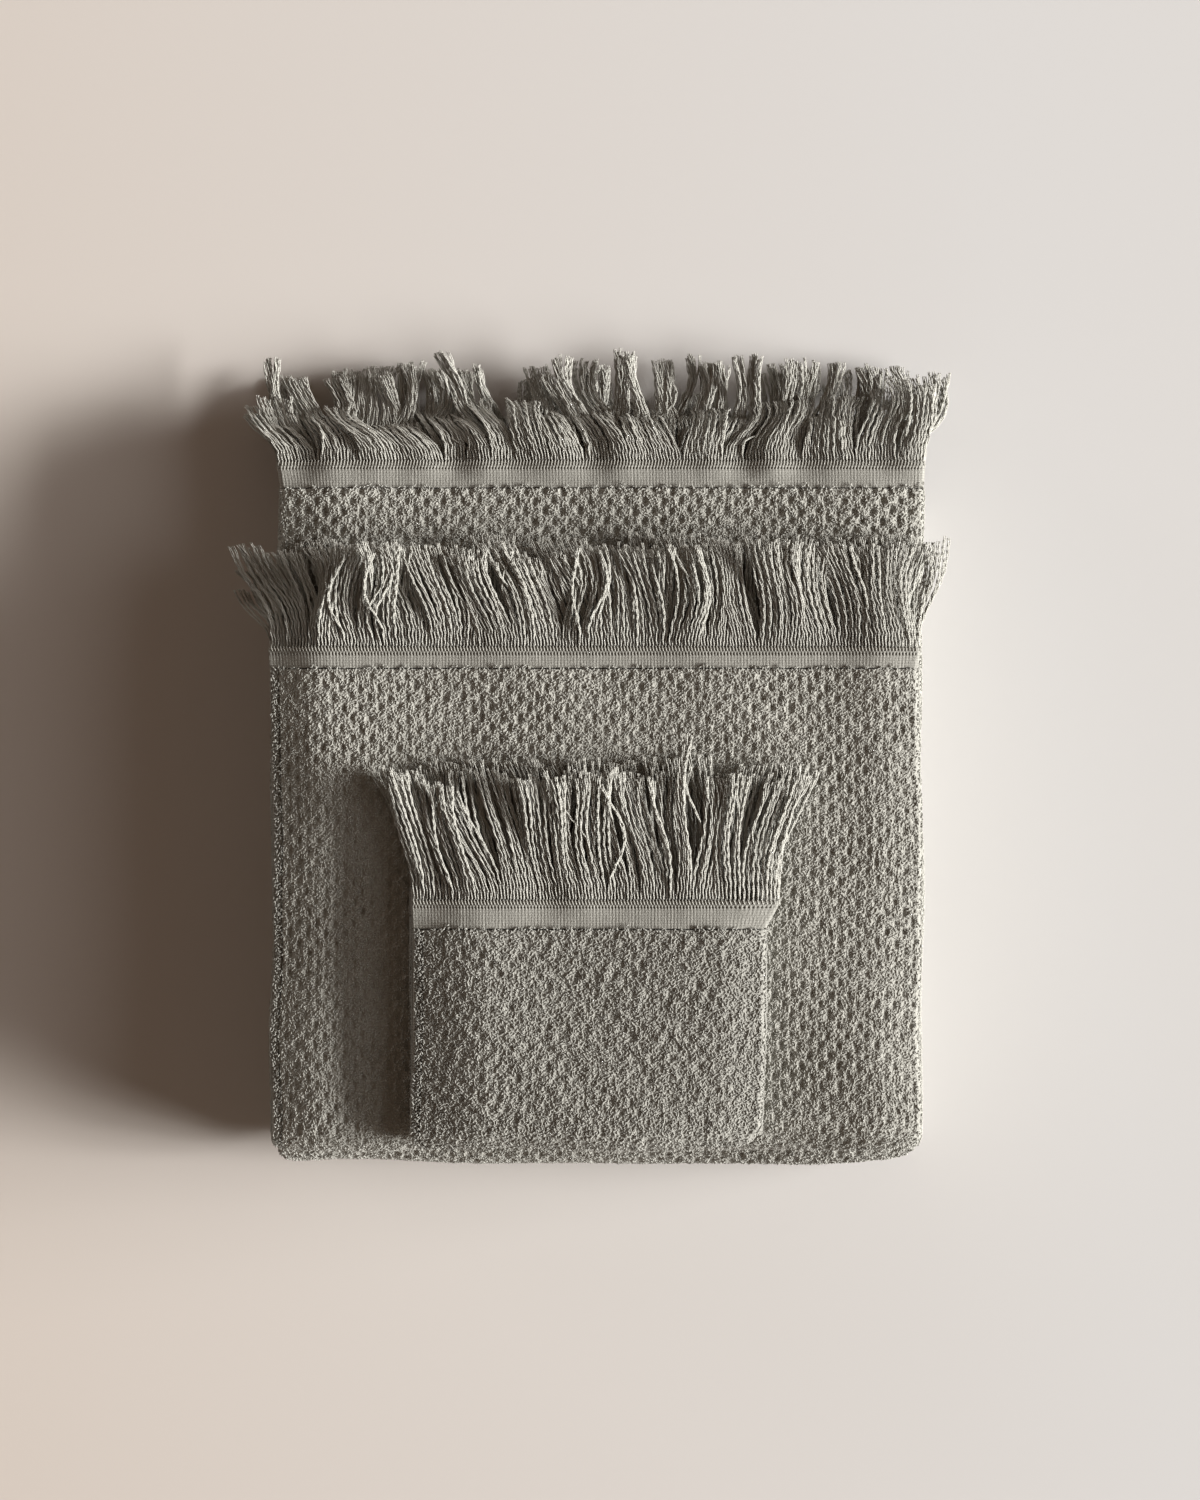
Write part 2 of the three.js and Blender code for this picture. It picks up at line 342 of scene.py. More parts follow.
class Folds:
    """Carries points of the cloth onto the folds of one towel."""

    def __init__(self, towel):
        self.towel = towel
        self.across_line = width_fold(towel)
        self.along_line = length_fold(towel)
        self.width = self.across_line[-1, 0]
        self.length = self.along_line[-1, 0]
        beyond = self.along_line[:, 1] >= towel.terry_end - 1e-6
        first_half = self.along_line[:, 0] < self.length / 2
        self.top_end = self.along_line[np.nonzero(beyond & first_half)[0][-1], 0]
        under = self.along_line[np.nonzero(beyond & ~first_half)[0][0], 0]
        under_border = np.array(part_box(f"{towel.name}_border_under")) / MM
        self.under_end = under + (under_border[0][1] - towel.terry_end - GAP)

    @staticmethod
    def _read(line, distance):
        return [np.interp(distance, line[:, 0], line[:, k]) for k in range(1, 5)]

    def place(self, across, along, off=0.0):
        """Points of the cloth and the cloth's outer normals there, settled."""
        a, h, na, nh = self._read(self.across_line, across)
        y, z, ny, nz = self._read(self.along_line, along)
        rise = h + nh * off - self.towel.bundle / 2
        points = np.column_stack([
            self.towel.centre + a + na * off * EDGE_SQUASH,
            y + ny * rise,
            z + nz * rise,
        ])
        normals = np.column_stack([na, ny * nh, nz * nh])
        normals /= np.linalg.norm(normals, axis=1, keepdims=True)
        return settle(self.towel, points), normals


def add_mesh(name, vertices, faces, material, uvs=None):
    """A mesh object from points in millimetres and a list of face arrays of equal-sided faces.
    uvs has one pair for each vertex."""
    mesh = bpy.data.meshes.new(name)
    mesh.vertices.add(len(vertices))
    mesh.vertices.foreach_set("co", (np.asarray(vertices) * MM).ravel())
    corners = np.concatenate([f.ravel() for f in faces]).astype(np.int32)
    sizes = np.concatenate([np.full(len(f), f.shape[1]) for f in faces])
    starts = np.concatenate([[0], np.cumsum(sizes)[:-1]]).astype(np.int32)
    mesh.loops.add(len(corners))
    mesh.loops.foreach_set("vertex_index", corners)
    mesh.polygons.add(len(sizes))
    mesh.polygons.foreach_set("loop_start", starts)
    if uvs is not None:
        layer = mesh.uv_layers.new(name="yarn")
        layer.data.foreach_set("uv", np.asarray(uvs)[corners].ravel())
    mesh.update(calc_edges=True)
    mesh.shade_smooth()
    mesh.materials.append(material)
    piece = bpy.data.objects.new(name, mesh)
    bpy.context.scene.collection.objects.link(piece)
    return piece


def cloth_sheet(folds, name, across, along, half, material):
    """A closed sheet of cloth over a grid of distances. half(across, along, side) gives half
    the thickness; side is 1 on the outer face and -1 on the inner one."""
    columns = len(across)
    rows = len(along)
    grid_along, grid_across = [g.ravel() for g in np.meshgrid(along, across, indexing="ij")]
    shells = []
    for side in (1, -1):
        off = side * half(grid_across, grid_along, side)
        shells.append(folds.place(grid_across, grid_along, off)[0])
    count = rows * columns
    index = np.arange(count).reshape(rows, columns)
    outer = np.stack([index[:-1, :-1], index[:-1, 1:], index[1:, 1:], index[1:, :-1]], -1)
    outer = outer.reshape(-1, 4)
    inner = outer[:, ::-1] + count
    rim = np.concatenate([index[0, :], index[1:, -1], index[-1, -2::-1], index[-2:0:-1, 0]])
    after = np.roll(rim, -1)
    wall = np.stack([rim, rim + count, after + count, after], 1)
    faces = np.vstack([outer, inner, wall])
    vertices = np.vstack(shells)
    if signed_volume(vertices, faces) < 0:
        faces = faces[:, ::-1]
    return add_mesh(name, vertices, [faces], material)


def signed_volume(vertices, quads):
    """Six times the volume that the faces enclose: positive where they point out."""
    p, q, r, s = (vertices[quads[:, k]] for k in range(4))
    return np.einsum("ij,ij->", p, np.cross(q, r)) + np.einsum("ij,ij->", p, np.cross(r, s))


def tubes(name, lines, radii, hints, sides, material, pitch=1.0):
    """Closed yarns along many lines of equal point count. lines is (yarns, points, 3), radii is
    (yarns, points), and hints gives each yarn a direction that isn't along it. The first and
    last points become the yarn's pointed ends."""
    yarns, points, _ = lines.shape
    tangent = np.gradient(lines, axis=1)
    tangent /= np.linalg.norm(tangent, axis=2, keepdims=True) + 1e-12
    side = np.cross(tangent, hints[:, None, :])
    side /= np.linalg.norm(side, axis=2, keepdims=True) + 1e-12
    up = np.cross(side, tangent)
    angle = np.arange(sides) * 2 * math.pi / sides
    rings = points - 2
    body = lines[:, 1:-1, None, :] + radii[:, 1:-1, None, None] * (
        np.cos(angle)[None, None, :, None] * side[:, 1:-1, None, :]
        + np.sin(angle)[None, None, :, None] * up[:, 1:-1, None, :]
    )
    per_yarn = rings * sides + 2
    vertices = np.empty((yarns, per_yarn, 3))
    vertices[:, 1:-1] = body.reshape(yarns, rings * sides, 3)
    vertices[:, 0] = lines[:, 0]
    vertices[:, -1] = lines[:, -1]
    ring = 1 + np.arange(rings * sides).reshape(rings, sides)
    nxt = np.roll(ring, -1, axis=1)
    quads = np.stack([ring[:-1], nxt[:-1], nxt[1:], ring[1:]], -1).reshape(-1, 4)
    last = per_yarn - 1
    start = np.stack([np.zeros(sides, int), nxt[0], ring[0]], 1)
    stop = np.stack([np.full(sides, last), ring[-1], nxt[-1]], 1)
    shift = (np.arange(yarns) * per_yarn)[:, None, None]
    quads = (quads[None] + shift).reshape(-1, 4)
    triangles = (np.vstack([start, stop])[None] + shift).reshape(-1, 3)
    run = np.cumsum(np.linalg.norm(np.diff(lines, axis=1), axis=2), axis=1) / pitch
    run = np.concatenate([np.zeros((yarns, 1)), run], axis=1)
    uvs = np.zeros((yarns, per_yarn, 2))
    uvs[:, -1, 0] = run[:, -1]
    uvs[:, 1:-1, 0] = np.repeat(run[:, 1:-1], sides, axis=1)
    uvs[:, 1:-1, 1] = np.tile(np.arange(sides) / sides, rings)
    uvs[..., 0] += np.random.default_rng(yarns).uniform(0, 50, (yarns, 1))
    return add_mesh(name, vertices.reshape(-1, 3), [quads, triangles], material, uvs.reshape(-1, 2))


# ---- materials
def new_material(name, roughness, sheen):
    """A matt material, with the soft sheen that cotton fibres give."""
    material = bpy.data.materials.new(name)
    material.use_nodes = True
    tree = material.node_tree
    shader = tree.nodes["Principled BSDF"]
    settings = {
        "Roughness": roughness, "Specular IOR Level": 0.25, "Sheen Weight": sheen,
        "Sheen Roughness": 0.55, "Sheen Tint": (*SHEEN_COLOUR, 1),
    }
    for socket, value in settings.items():
        shader.inputs[socket].default_value = value
    return material, tree, shader


def node(tree, kind, **values):
    """A new node. Each value goes to the socket of that name, or else to the node's own setting.
    An output of another node is linked."""
    made = tree.nodes.new(kind)
    for key, value in values.items():
        if isinstance(value, bpy.types.NodeSocket):
            tree.links.new(value, made.inputs[key])
        elif key in made.inputs:
            made.inputs[key].default_value = value
        else:
            setattr(made, key, value)
    return made


def tone_ramp(tree, factor, dark, light, low=0.3, high=0.7):
    """A colour that goes from dark to light as factor goes from low to high."""
    ramp = node(tree, "ShaderNodeValToRGB", Fac=factor)
    ramp.color_ramp.elements[0].position = low
    ramp.color_ramp.elements[0].color = (*dark, 1)
    ramp.color_ramp.elements[1].position = high
    ramp.color_ramp.elements[1].color = (*light, 1)
    return ramp.outputs["Color"]


def bump(tree, shader, height, distance, strength):
    """Fine relief from a height pattern. distance is in metres."""
    made = node(tree, "ShaderNodeBump", Strength=strength, Distance=distance, Height=height)
    tree.links.new(made.outputs["Normal"], shader.inputs["Normal"])


def on_object(tree, kind, **values):
    """A new pattern node that stays in place on the object."""
    place = node(tree, "ShaderNodeTexCoord")
    return node(tree, kind, Vector=place.outputs["Object"], **values)


def object_noise(tree, scale):
    """Noise on the object. scale is in features a metre."""
    return on_object(tree, "ShaderNodeTexNoise", Scale=scale, Detail=3.0).outputs["Fac"]


def multiplied(tree, first, second):
    """The product of two colours."""
    mix = node(tree, "ShaderNodeMix", data_type="RGBA", blend_type="MULTIPLY")
    mix.inputs["Factor"].default_value = 1.0
    tree.links.new(first, mix.inputs["A"])
    tree.links.new(second, mix.inputs["B"])
    return mix.outputs["Result"]


def shaded(colour, painted_shade):
    """A colour made lighter or darker by a share: a towel's painted shade."""
    return tuple(part * painted_shade for part in colour)


def pile_material(towel):
    """Looped cotton: each loop a little lighter or darker, and slow patches of wear."""
    material, tree, shader = new_material(f"{towel.name}_loops", 0.92, 0.25)
    # Both tones carry the towel's painted shade.
    dark = shaded(LOOP_DARK, towel.painted_shade)
    light = shaded(LOOP_LIGHT, towel.painted_shade)
    fine = tone_ramp(tree, object_noise(tree, 900), dark, light)
    slow = tone_ramp(tree, object_noise(tree, 22), (0.9, 0.9, 0.89), WHITE)
    tree.links.new(multiplied(tree, fine, slow), shader.inputs["Base Color"])
    bump(tree, shader, object_noise(tree, 3200), 0.0002, 0.5)
    return material


def ground_material(towel):
    """The foot of the loops, close together, that shows between the loops on top. Its colour is
    painted darker than the loops and darkest where the feet meet, as painted shade in the gaps.
    """
    material, tree, shader = new_material(f"{towel.name}_loop_feet", 0.95, 0.15)
    weave = on_object(tree, "ShaderNodeTexVoronoi", Scale=950.0)
    dark = shaded(FEET_PAINTED_SHADE_DARK, towel.painted_shade)
    light = shaded(FEET_PAINTED_SHADE_LIGHT, towel.painted_shade)
    # Painted shade: darker towards the edge of each foot, where the feet meet.
    colour = tone_ramp(tree, weave.outputs["Distance"], light, dark, 0.1, 0.7)
    tree.links.new(colour, shader.inputs["Base Color"])
    bump(tree, shader, weave.outputs["Distance"], 0.0006, 0.8)
    return material


def woven_material():
    """Flat weave: warp and weft threads, streaks along some of the warp, and a finer grain."""
    material, tree, shader = new_material("woven_border", 0.85, 0.2)
    wave = "ShaderNodeTexWave"
    warp = on_object(tree, wave, Scale=200.0, Distortion=1.2, bands_direction="X")
    weft = on_object(tree, wave, Scale=300.0, Distortion=1.2, bands_direction="Y")
    warp_tone = tone_ramp(tree, warp.outputs["Fac"], WOVEN_DARK, WOVEN_LIGHT, 0.0, 0.8)
    weft_tone = tone_ramp(tree, weft.outputs["Fac"], (0.78, 0.78, 0.77), WHITE, 0.0, 0.7)
    stretched = on_object(tree, "ShaderNodeMapping", Scale=(380, 25, 25))
    along_warp = stretched.outputs["Vector"]
    streaks = node(tree, "ShaderNodeTexNoise", Scale=1.0, Detail=3.0, Vector=along_warp)
    streak_tone = tone_ramp(tree, streaks.outputs["Fac"], (0.8, 0.8, 0.79), WHITE)
    grain = tone_ramp(tree, object_noise(tree, 1500), (0.78, 0.78, 0.77), WHITE)
    weave = multiplied(tree, warp_tone, weft_tone)
    streaked = multiplied(tree, weave, streak_tone)
    tree.links.new(multiplied(tree, streaked, grain), shader.inputs["Base Color"])
    bump(tree, shader, object_noise(tree, 1800), 0.0004, 0.8)
    return material


def yarn_material():
    """Loose cotton yarn: the ply's twist runs along its length, with tone from yarn to yarn."""
    material, tree, shader = new_material("fringe_yarn", 0.92, 0.1)
    place = node(tree, "ShaderNodeUVMap", uv_map="yarn")
    twist = node(
        tree, "ShaderNodeTexWave", Scale=1.0, Distortion=0.4, Detail=1.0,
        bands_direction="DIAGONAL", Vector=place.outputs["UV"],
    )
    fibre = tone_ramp(tree, twist.outputs["Fac"], (0.84, 0.84, 0.83), WHITE, 0.0, 0.6)
    tone = tone_ramp(tree, object_noise(tree, 420), YARN_DARK, YARN_LIGHT)
    tree.links.new(multiplied(tree, tone, fibre), shader.inputs["Base Color"])
    bump(tree, shader, twist.outputs["Fac"], 0.0002, 0.5)
    return material


WOVEN = woven_material()
YARN = yarn_material()  # ---- pieces of a towel
def pit_depth(towel, across, along):
    """1 at the middle of each pit of the pile and 0 between pits. The pits stand in rows
    across the towel, and every other row is moved by half a pitch."""
    across = across + 0.45 * waves(across, along, towel.seed + 51, 12)
    row = (along + 0.4 * waves(across, along, towel.seed + 52, 13)) / PIT_ROW
    best = np.zeros_like(across, dtype=float)
    for nearby in (0, 1):
        line = np.floor(row) + nearby
        shift = np.where(line % 2 == 0, 0.0, 0.5)
        place = across / PIT_PITCH - shift
        from_pit = (place - np.round(place)) * PIT_PITCH
        from_row = (row - line) * PIT_ROW
        distance = np.hypot(from_pit / towel.pit_half_width, from_row / towel.pit_half_length)
        best = np.maximum(best, 1 - smooth((distance - 0.15) / 1.15))
    return best * (0.8 + 0.25 * waves(across, along, towel.seed + 53, 38))


def marks(*stretches):
    """Distances for a grid: each stretch is (start, stop, spacing)."""
    parts = [np.linspace(a, b, max(2, int(math.ceil((b - a) / step)) + 1)) for a, b, step in stretches]
    joined = np.concatenate(parts)
    keep = np.concatenate([[True], np.diff(joined) > 0.05])
    return joined[keep]


def outer_sheet(folds):
    """The distances across the towel between which its outermost sheet lies."""
    line = folds.across_line
    on_top = line[:, 2] > folds.towel.bundle - PITCH * 0.75
    return line[on_top][0, 0], line[on_top][-1, 0]


def across_marks(folds, fine, inset=0.0):
    """Fine on the outermost sheet, coarse on the sheets turned in. inset keeps clear of both
    selvedges."""
    first, last = outer_sheet(folds)
    first -= FINE_PAST_EDGE
    last += FINE_PAST_EDGE
    low = inset
    high = folds.width - inset
    stretches = []
    if first > low:
        stretches.append((low, first, INNER_STEPS[0]))
    stretches.append((max(low, first), min(high, last), fine))
    if last < high:
        stretches.append((last, high, INNER_STEPS[0]))
    return marks(*stretches)


def along_marks(folds, fine):
    """Fine on the top layer and round the near fold, coarse on the layers inside and their bends."""
    line = folds.along_line
    towel = folds.towel
    top_done = folds.top_end + (towel.terry_end - towel.nose)
    nose_done = top_done + 1.3 * towel.height
    turning = np.abs(np.diff(np.unwrap(np.arctan2(line[:, 4], line[:, 3]))))
    bends = line[1:, 0][turning > 1e-4]
    bends = bends[(bends > nose_done) & (bends < folds.under_end - 1)]
    coarse = np.arange(nose_done, folds.under_end, INNER_STEPS[1])
    fine_marks = marks((folds.top_end, nose_done, fine))
    everything = np.unique(np.concatenate([fine_marks, coarse, bends[::2], [folds.under_end]]))
    keep = np.concatenate([[True], np.diff(everything) > 0.3])
    keep[-1] = True
    return everything[keep]


def pile_lumps(towel, across, along):
    """How much the pile stands above or below its mean height, in small and middling bumps."""
    small = waves(across, along, towel.seed + 21, 5.5, 24)
    middling = waves(across, along, towel.seed + 22, 17, 16)
    return towel.lumps * (0.62 * small + 0.38 * middling)


def terry_half(towel):
    """Half the thickness of the ground cloth: lumpy and pitted outside, flat inside."""

    def half(across, along, side):
        lumps = pile_lumps(towel, across, along)
        if side < 0:
            return np.full_like(lumps, GROUND_HALF)
        return GROUND_HALF + lumps - towel.pit_depth * pit_depth(towel, across, along)

    return half


def make_ground(folds):
    """The ground cloth of the terry field, with its pits."""
    towel = folds.towel
    across = across_marks(folds, GROUND_STEPS[0], SELVEDGE_WIDTH + GAP)
    along = along_marks(folds, GROUND_STEPS[1])
    material = ground_material(towel)
    return cloth_sheet(folds, f"{towel.name}_ground", across, along, terry_half(towel), material)


def open_air(points, normals, tree):
    """Which points of the cloth see the open air, not the next layer of the same towel."""
    start = (points + normals * AIR_FROM) * MM
    free = np.ones(len(points), bool)
    for i, (origin, normal) in enumerate(zip(start, normals)):
        free[i] = tree.ray_cast(Vector(origin), Vector(normal), AIR_TO * MM)[0] is None
    return free


def covered(towel, points):
    """Which points lie well under the towel above."""
    above = towel.above
    if above is None:
        return np.zeros(len(points), bool)
    x, y, z = points.T
    beside = np.abs(x - above.centre) < above.half_width - COVER_INSET
    past_nose = y > above.nose + COVER_INSET
    return beside & past_nose & (y < above.terry_end) & (z > above.base - COVER_INSET)


def loop_places(rng, folds, ground):
    """Where loops stand: on every face of the terry that can be seen. Gives the distances across
    and along, how deep in a pit, the points and the normals."""
    towel = folds.towel
    spacing = towel.loop_spacing
    columns = np.arange(BARE_EDGE, folds.width - BARE_EDGE, spacing)
    rows = np.arange(folds.top_end - 2.0, folds.under_end + 0.5, spacing)
    along, across = [g.ravel() for g in np.meshgrid(rows, columns, indexing="ij")]
    across = across + rng.uniform(-0.55, 0.55, across.size) * spacing
    along = along + rng.uniform(-0.55, 0.55, along.size) * spacing
    pit = pit_depth(towel, across, along)
    root = LOOP_ROOT + pile_lumps(towel, across, along) - towel.pit_depth * pit
    points, normals = folds.place(across, along, root)
    from_side = towel.half_width - np.abs(points[:, 0] - towel.centre)
    facing_down = (normals[:, 2] < -0.6) & (from_side > 8)
    thinned = covered(towel, points) & (rng.uniform(0, 1, len(points)) > COVERED_SHARE)
    past_edge = along < folds.top_end - 0.7 - 0.9 * waves(across, 0 * across, towel.seed + 54, 5)
    keep = ~facing_down & ~thinned & ~past_edge
    across, along, pit = across[keep], along[keep], pit[keep]
    points, normals, from_side = points[keep], normals[keep], from_side[keep]
    tree = BVHTree.FromObject(ground, bpy.context.evaluated_depsgraph_get())
    keep = open_air(points, normals, tree) | (from_side < 4.5)
    return [values[keep] for values in (across, along, pit, points, normals)]


def make_pile(folds, ground):
    """The loops of yarn, each with its own heading, height and lean."""
    towel = folds.towel
    rng = np.random.default_rng(towel.seed)
    across, along, pit, points, normals = loop_places(rng, folds, ground)
    count = len(points)

    # Each loop heads its own way, round a slow flow over the cloth.
    flow = 0.5 * waves(across, along, towel.seed + 31, 24)
    turn = towel.loop_heading + flow + rng.normal(0, towel.loop_disorder, count)
    sideways = np.cross(normals, [0.0, 1.0, 0.0])
    weak = np.linalg.norm(sideways, axis=1) < 0.2
    sideways[weak] = np.cross(normals[weak], [0.0, 0.0, 1.0])
    sideways /= np.linalg.norm(sideways, axis=1, keepdims=True)
    forward = np.cross(normals, sideways)
    lengthwise = np.cos(turn)[:, None] * sideways + np.sin(turn)[:, None] * forward
    crosswise = np.cross(normals, lengthwise)

    # Bend each loop from its root over its top to its other root.
    reach = towel.loop_reach * rng.uniform(0.75, 1.3, count)
    height = LOOP_HEIGHT * rng.uniform(0.8, 1.25, count) * (1 - 0.3 * pit)
    height = height * (0.5 + 0.5 * smooth(np.abs(normals[:, 2]) * 2))
    lean = rng.normal(0, 0.35, (count, 2))
    squiggle = rng.uniform(-0.4, 0.4, count)
    lines = np.empty((count, len(LOOP_SHAPE), 3))
    for k, (ahead, rise, bend) in enumerate(LOOP_SHAPE):
        lift = height * rise
        lines[:, k] = (
            points
            + lengthwise * (ahead * reach + lean[:, 0] * lift * 0.7)[:, None]
            + crosswise * (bend * squiggle + lean[:, 1] * lift * 0.7)[:, None]
            + normals * lift[:, None]
        )
    lines[..., 2] = np.maximum(lines[..., 2], towel.yarn_radius * 1.2)
    radii = towel.yarn_radius * rng.uniform(0.85, 1.2, count)[:, None] * np.ones(len(LOOP_SHAPE))
    return tubes(f"{towel.name}_pile", lines, radii, crosswise, 3, pile_material(towel))


def ends(folds):
    """The two fringed ends of a towel: name, where the terry stops, and which way is outward."""
    return (("top", folds.top_end, -1), ("under", folds.under_end, 1))


def make_border(folds, end, root, outward):
    """The flat woven border, with a rib for each warp thread on its outer sheet, and rows of
    small holes between the ribs beside the fringe."""
    towel = folds.towel
    near = root + outward * GAP
    far = root + outward * (GAP + towel.border + GAP + HEMSTITCH_LENGTH)
    step_across, step_along = BORDER_STEPS[end]
    across = across_marks(folds, step_across)
    along = marks((min(near, far), max(near, far), step_along))

    def half(x, y, _side):
        from_edge = np.abs(far - y)
        rib = (0.05 + 0.1 * (1 - smooth(from_edge / 4))) * np.cos(2 * math.pi * x / THREAD_PITCH)
        weft = 0.015 * np.cos(2 * math.pi * y / WEFT_PITCH)
        row = from_edge / HOLE_ROW
        hole = np.cos(math.pi * (row - np.round(row))) ** 2 * (from_edge < 2.6 * HOLE_ROW)
        hole = hole * (from_edge > 0.5 * HOLE_ROW)
        slant = 2 * math.pi * x / THREAD_PITCH + math.pi * row
        valley = np.clip(-np.cos(slant), 0, 1)
        return WOVEN_HALF + rib + weft - HOLE_DEPTH * hole * valley - 0.3 * (from_edge < 0.2)

    return cloth_sheet(folds, f"{towel.name}_border_{end}_cloth", across, along, half, WOVEN)


def make_selvedge(folds, side):
    """The narrow woven edge down one long side."""
    towel = folds.towel
    start = 0 if side == "inner" else folds.width - SELVEDGE_WIDTH
    across = np.linspace(start, start + SELVEDGE_WIDTH, 8)
    along = along_marks(folds, GROUND_STEPS[1])

    def half(x, y, _side):
        return SELVEDGE_HALF + 0.12 * np.cos(2 * math.pi * y / 2.2) + 0.1 * np.cos(2 * math.pi * x)

    return cloth_sheet(folds, f"{towel.name}_selvedge_{side}_cloth", across, along, half, WOVEN)


def root_marks(folds):
    """Where the warp threads leave the border, across the towel."""
    return np.arange(0.7, folds.width - 0.5, THREAD_PITCH)


def make_hemstitch(folds, end, root, outward):
    """A row of small slanting stitches over the root of the fringe."""
    towel = folds.towel
    middle = root + outward * (GAP + towel.border + GAP + HEMSTITCH_LENGTH / 2)
    across = root_marks(folds)
    lines = []
    for share, off, reach in STITCH_SHAPE:
        place = np.clip(across + (share - 0.5) * STITCH_WIDTH, 0, folds.width)
        lines.append(folds.place(place, np.full_like(place, middle + outward * reach), off)[0])
    lines = np.stack(lines, 1)
    radii = np.full(lines.shape[:2], STITCH_RADIUS)
    hints = np.tile([1.0, 0.0, 0.0], (len(lines), 1))
    return tubes(f"{towel.name}_hemstitch_{end}_stitches", lines, radii, hints, 5, YARN)


def bed(towel, end, x, y):
    """The height of whatever a fringe falls onto: the under fringe of its own towel, the towel
    below it, or the floor."""
    below = towel.below
    if below is None:
        height = np.full_like(x, FLOOR_REST)
    else:
        height = below.base + below.height - GAP + PILE_REST - top_drop(below, x, y)
    if end == "top":
        height = height + SHEET_REST * towel.sheets
    return height


class Locks:
    """Uneven runs of neighbouring threads of one sheet, each with its own lean, curve, gather
    and height. number and across hold a value for each thread, the rest for each lock."""

    def __init__(self, rng, towel, style, x, gap):
        count = len(x)
        sheet = np.round(gap / PITCH).astype(int)
        self.number = np.zeros(count, int)
        longest = None
        total = 0
        for layer in np.unique(sheet):
            members = np.nonzero(sheet == layer)[0]
            members = members[np.argsort(x[members])]
            at = 0
            while at < len(members):
                size = int(rng.integers(*style["lock"]))
                if layer == 0 and longest is None and x[members[at]] > style.get("long_at", 1000):
                    size = LONG_LOCK["threads"]
                    longest = total
                self.number[members[at:at + size]] = total
                at += size
                total += 1
        self.middle = np.array([x[self.number == k].mean() for k in range(total)])
        self.half = np.array([np.ptp(x[self.number == k]) / 2 + 0.7 for k in range(total)])
        self.lean = self.along_edge(towel, style["lean"]) + rng.normal(0, style["mess"], total)
        fall = np.radians(self.along_edge(towel, style["fall"]))
        self.fall = fall + rng.normal(0, style["fall_mess"], total)
        self.curve = style["curve"] * rng.uniform(0.3, 1.3, total)
        turn = waves(self.middle, 0 * self.middle, towel.seed + 41, 55)
        self.phase = 2.2 * turn + rng.normal(0, 0.8, total)
        self.gather = rng.uniform(*style["gather"], total)
        self.arch = rng.uniform(0.1, 0.5, total)
        self.tilt = rng.normal(0, 0.07, total)
        self.lift = rng.normal(0, style["lift"], total)
        self.length = rng.normal(1.0, 0.045, total)
        self.tip = rng.uniform(0.2, 1.0, total) * style["tip"]
        if longest is not None:
            for trait in ("length", "gather", "lift", "lean", "curve"):
                getattr(self, trait)[longest] = LONG_LOCK[trait]
        self.across = (x - self.middle[self.number]) / self.half[self.number]

    def along_edge(self, towel, values):
        """Reads values that are spaced evenly from the towel's left side to its right side."""
        side = (self.middle - towel.centre) / towel.half_width
        return np.interp(side, np.linspace(-1, 1, len(values)), values)

    def of(self, trait):
        """A trait of the locks, with one value for each thread, as a column."""
        return getattr(self, trait)[self.number][:, None]


def travel(rng, style, locks, share, length, first_fall, loose):
    """The way of each thread from its root, as x, y and z, and the phase of its own waves. Its
    heading at each point is summed. loose is 1 for the threads that may leave their lock."""
    count = len(length)
    own_curve = rng.normal(0, 0.05, (count, 1))
    own_curve = own_curve + rng.normal(0, 0.45, (count, 1)) * loose
    own_phase = rng.uniform(0, 2 * math.pi, (count, 1))
    wave = np.sin(share * 5 + locks.of("phase"))
    lean = (
        locks.of("lean") * (smooth(share * 2.6) - style["recover"] * smooth(share * 2 - 1))
        + locks.of("curve") * wave * smooth(share * 3)
        + own_curve * np.sin(share * 6 + own_phase) * smooth(share * 3)
    )
    bend_from, bend_over = style["bend"]
    bent = smooth((share - bend_from) / bend_over)
    fall = first_fall + (locks.of("fall") - first_fall) * bent
    step = length * np.diff(share, prepend=0)
    steps = [
        step * np.sin(lean) * np.cos(fall),
        step * np.cos(lean) * np.cos(fall),
        -step * np.sin(fall),
    ]
    return [np.cumsum(d, axis=1) for d in steps], own_phase


def plied(rng, centre_lines, share, turn):
    """The plies of each thread. They turn slowly round each other and open towards the tip."""
    opening = PLY_OFFSET + 0.1 * smooth(share * 3)
    fray = rng.uniform(0.0, 1.0, (len(centre_lines), 1))
    opening = opening + 0.35 * smooth((share - 0.8) / 0.2) * fray
    plies = []
    for ply in range(PLIES):
        angle = turn + 2 * math.pi * ply / PLIES
        offset = np.stack([np.cos(angle), np.zeros_like(turn), np.sin(angle)], -1)
        plies.append(centre_lines + opening[..., None] * offset)
    return np.concatenate(plies)


